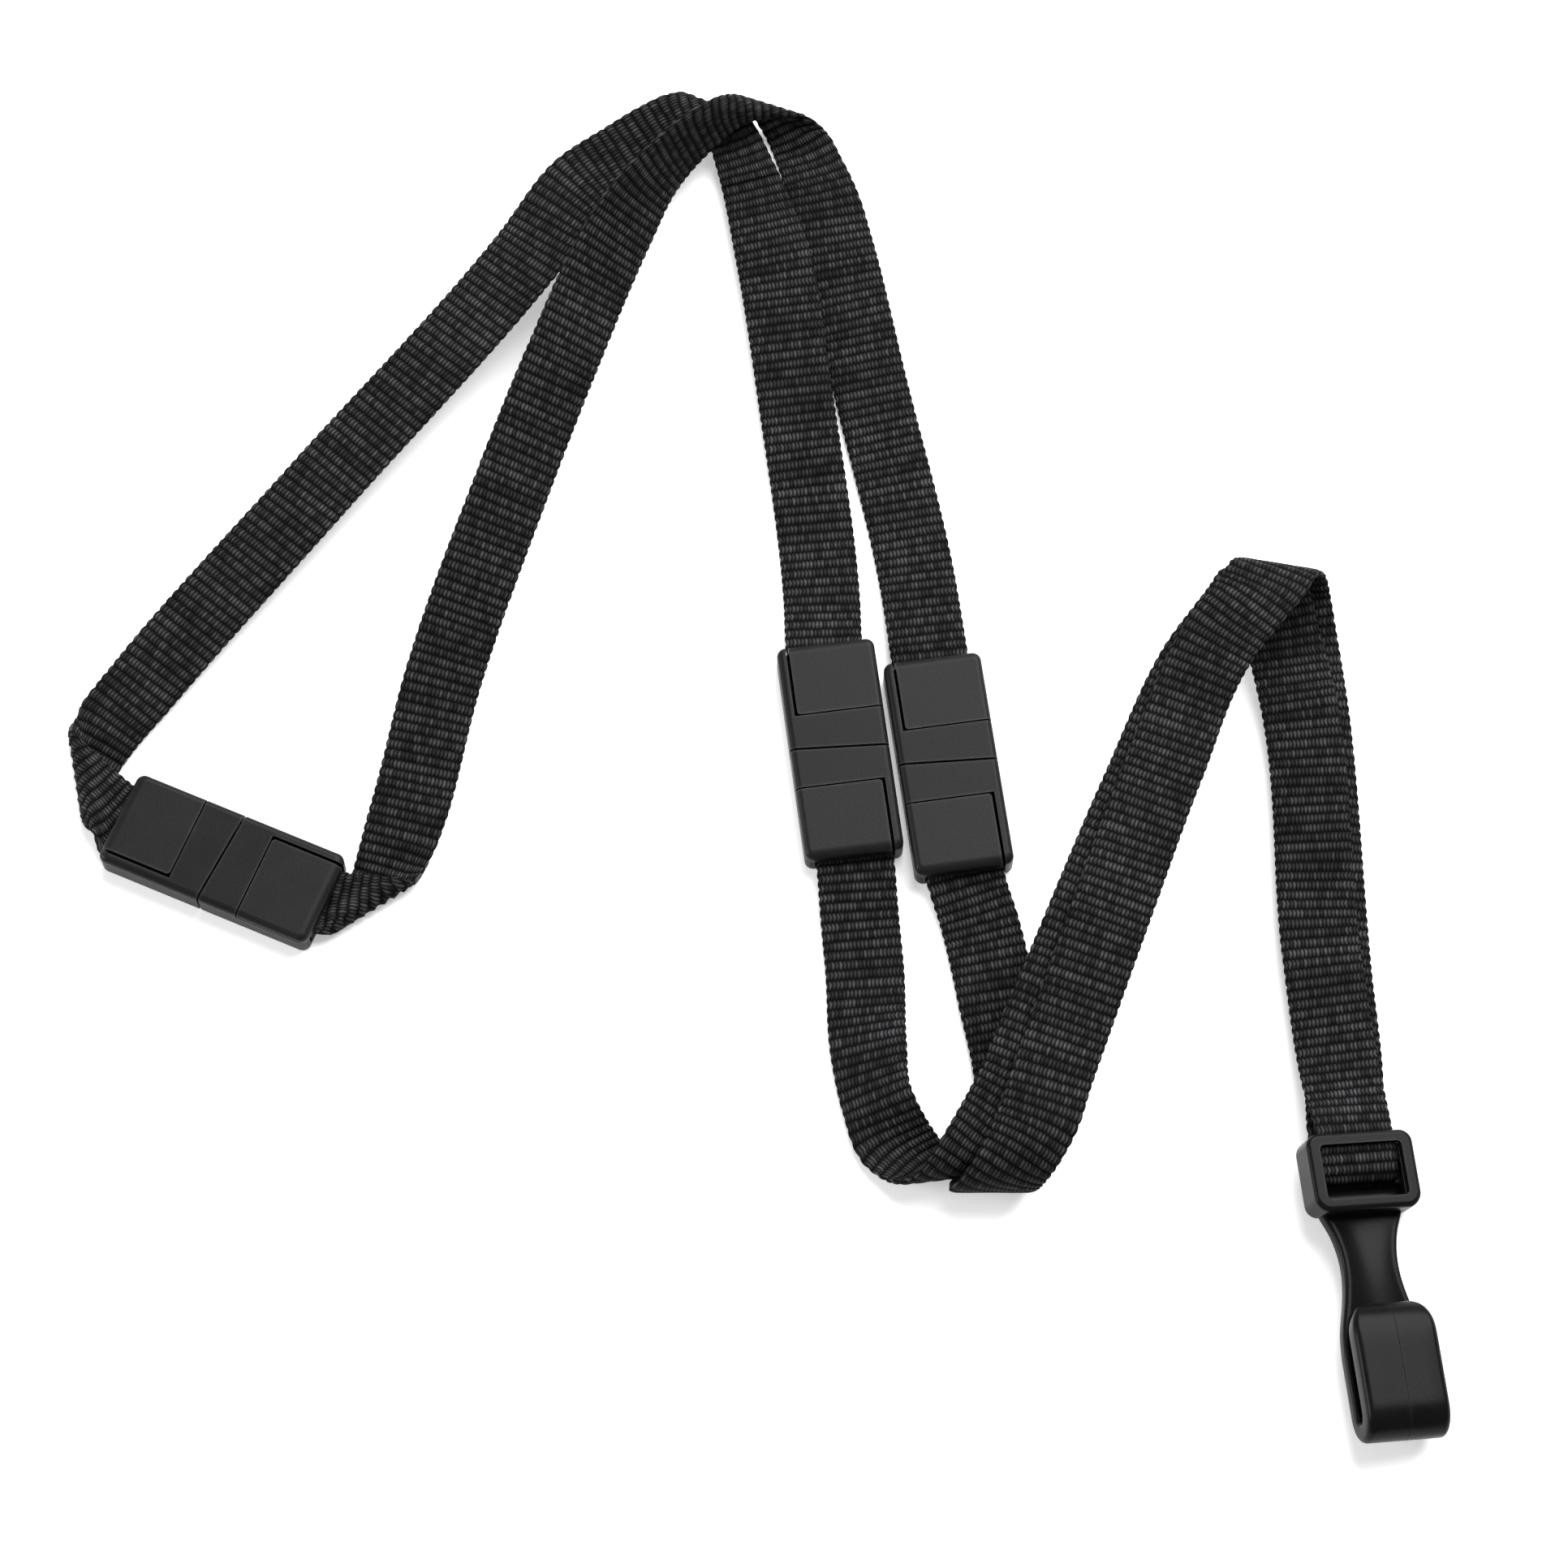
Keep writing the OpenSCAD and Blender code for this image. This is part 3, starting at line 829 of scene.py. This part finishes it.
def plastic_material(name, base, mottle_and_highlight_colour, rough, spec, grain):
    mat = bpy.data.materials.new(name)
    tree, bsdf = nodes_of(mat)
    coord = tree.nodes.new("ShaderNodeTexCoord")

    def noise(scale, detail):
        n = tree.nodes.new("ShaderNodeTexNoise")
        n.inputs["Scale"].default_value = scale
        n.inputs["Detail"].default_value = detail
        tree.links.new(coord.outputs["Object"], n.inputs["Vector"])
        return n.outputs[0]

    cloud = noise(220, 3)
    fine = noise(5200, 2)
    bevel = tree.nodes.new("ShaderNodeBevel")
    bevel.samples = 4
    bevel.inputs["Radius"].default_value = 0.0007
    geo = tree.nodes.new("ShaderNodeNewGeometry")
    dot = tree.nodes.new("ShaderNodeVectorMath")
    dot.operation = "DOT_PRODUCT"
    tree.links.new(bevel.outputs[0], dot.inputs[0])
    tree.links.new(geo.outputs["Normal"], dot.inputs[1])
    # a rounded normal leaves the flat one only near an edge, where the lighter colour paints a
    # highlight
    edge = maths(tree, "MULTIPLY", maths(tree, "SUBTRACT", 1.0, dot.outputs["Value"]), 1.2)
    edge = maths(tree, "MULTIPLY", edge, maths(tree, "ADD", cloud, 0.2))
    mottle = maths(tree, "MULTIPLY", maths(tree, "MULTIPLY", cloud, fine), 0.16)
    tone = maths(tree, "ADD", mottle, edge)
    clamp = tree.nodes.new("ShaderNodeClamp")
    tree.links.new(tone, clamp.inputs[0])
    tree.links.new(mix(tree, clamp.outputs[0], base, mottle_and_highlight_colour), bsdf.inputs["Base Color"])
    value = maths(tree, "ADD", maths(tree, "MULTIPLY", cloud, 0.10), rough - 0.05)
    tree.links.new(value, bsdf.inputs["Roughness"])
    bump = tree.nodes.new("ShaderNodeBump")
    bump.inputs["Strength"].default_value = grain
    bump.inputs["Distance"].default_value = 0.00002
    tree.links.new(fine, bump.inputs["Height"])
    tree.links.new(bump.outputs[0], bsdf.inputs["Normal"])
    bsdf.inputs["Specular IOR Level"].default_value = spec
    return mat


def wear(obj, mat):
    obj.data.materials.clear()
    obj.data.materials.append(mat)


# ---------------------------------------------------------------- studio
def add_area(name, place, aim, size, power):
    data = bpy.data.lights.new(name, "AREA")
    data.shape = "DISK"
    data.size = size
    data.energy = power
    obj = bpy.data.objects.new(name, data)
    obj.location = place
    obj.rotation_euler = (Vector(aim) - Vector(place)).to_track_quat("-Z", "Y").to_euler()
    bpy.context.scene.collection.objects.link(obj)


def build_studio():
    mesh = bpy.data.meshes.new("floor")
    s = 3.0
    mesh.from_pydata([(-s, -s, 0), (s, -s, 0), (s, s, 0), (-s, s, 0)], [], [(0, 1, 2, 3)])
    floor = link("floor", mesh)
    floor.location.z = -0.00005
    mat = bpy.data.materials.new("pale_floor")
    _, bsdf = nodes_of(mat)
    bsdf.inputs["Base Color"].default_value = (0.93, 0.93, 0.93, 1)
    bsdf.inputs["Roughness"].default_value = 0.9
    bsdf.inputs["Specular IOR Level"].default_value = 0.1
    bsdf.inputs["Emission Color"].default_value = (1, 1, 1, 1)
    bsdf.inputs["Emission Strength"].default_value = 0.34
    mesh.materials.append(mat)
    world = bpy.context.scene.world or bpy.data.worlds.new("world")
    bpy.context.scene.world = world
    world.use_nodes = True
    back = world.node_tree.nodes["Background"]
    back.inputs[0].default_value = (1, 1, 1, 1)
    back.inputs[1].default_value = 0.32
    add_area("softbox", (0.52, 0.85, 1.2), (0, 0, 0), 1.6, 52)
    add_area("side", (-1.0, -0.1, 0.42), (0, 0, 0), 0.5, 8)
    bpy.context.scene.view_settings.view_transform = "Standard"


def main():
    add_camera()
    straps = build_straps()
    parts = build_buckles() + build_hook()
    webbing = webbing_material()
    for obj in straps:
        wear(obj, webbing)
    # each plastic's second colour is a lighter tone for its random mottle and its painted edge
    # highlight
    looks = {
        "buckle_plastic": plastic_material(
            "buckle_black", (0.0058, 0.0058, 0.0063), (0.06, 0.06, 0.063), 0.38, 0.1, 0.7
        ),
        "lid_plastic": plastic_material(
            "lid_black", (0.0062, 0.0062, 0.0068), (0.065, 0.065, 0.068), 0.4, 0.115, 0.8
        ),
        # the hook's darker colours are painted shade on the same black plastic as the buckles
        "hook_plastic": plastic_material(
            "hook_black", (0.0022, 0.0022, 0.0024), (0.05, 0.05, 0.053), 0.28, 0.075, 0.45
        ),
    }
    for obj, look in parts:
        wear(obj, looks[look])
    build_studio()


main()

bpy.context.view_layer.update()
